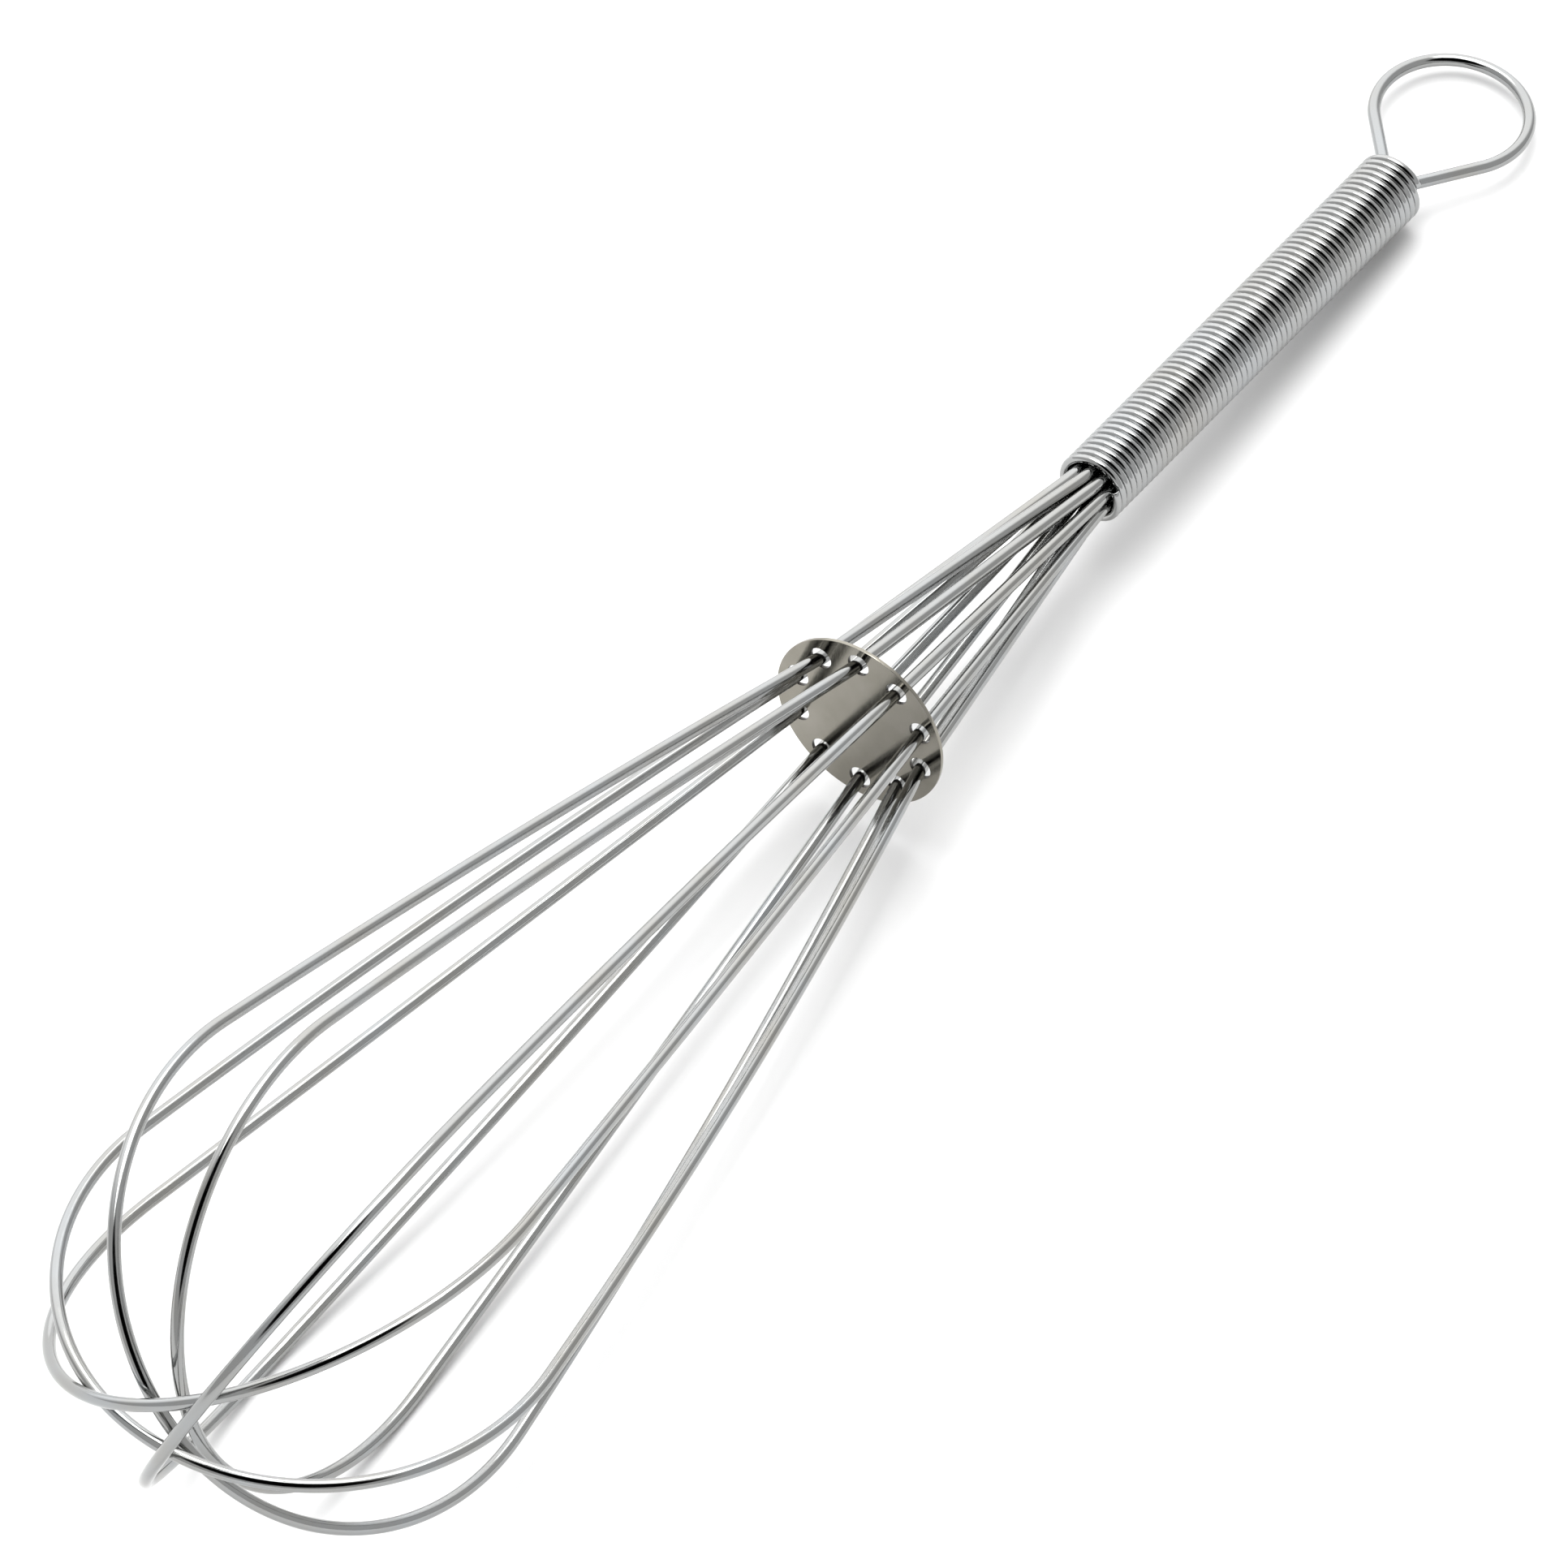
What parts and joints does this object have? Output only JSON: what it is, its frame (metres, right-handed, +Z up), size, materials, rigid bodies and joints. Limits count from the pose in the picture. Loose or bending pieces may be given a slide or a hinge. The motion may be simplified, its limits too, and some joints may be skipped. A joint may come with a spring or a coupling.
{
  "type": "balloon whisk",
  "caption": "Wire balloon whisk: bent wire loops through a drilled spacer disc into a close-wound coil grip with a teardrop hanging loop",
  "frame": {"origin": "middle of the bounding box on the table plane, under the whisk as it lies on its side", "axes": "+X towards the balloon's tip as seen from above (the whisk's own axis rises 5.8 degrees towards the tip), +Y across, +Z up from the table"},
  "size_m": [0.3018, 0.065, 0.0643],
  "materials": {
    "wire": "bright drawn stainless wire",
    "coil": "bright drawn stainless wire, close wound",
    "disc": "rolled sheet, slightly dull, punched",
    "weld": "heat-darkened weld nuggets, hidden in the coil"
  },
  "bodies": {
    "whisk": {"balloon_wire_1": "wire", "balloon_wire_2": "wire", "balloon_wire_3": "wire", "balloon_wire_4": "wire", "balloon_wire_5": "wire", "coil_grip": "coil", "hanging_loop": "wire", "tack_welds": "weld"},
    "disc": {"spacer_disc": "disc"}
  },
  "joints": [
    {"name": "disc_slide", "type": "slide", "parent": "whisk", "child": "disc", "axis": [0.9949, 0, 0.1011], "range_m": [-0.0025, 0.0015]}
  ]
}
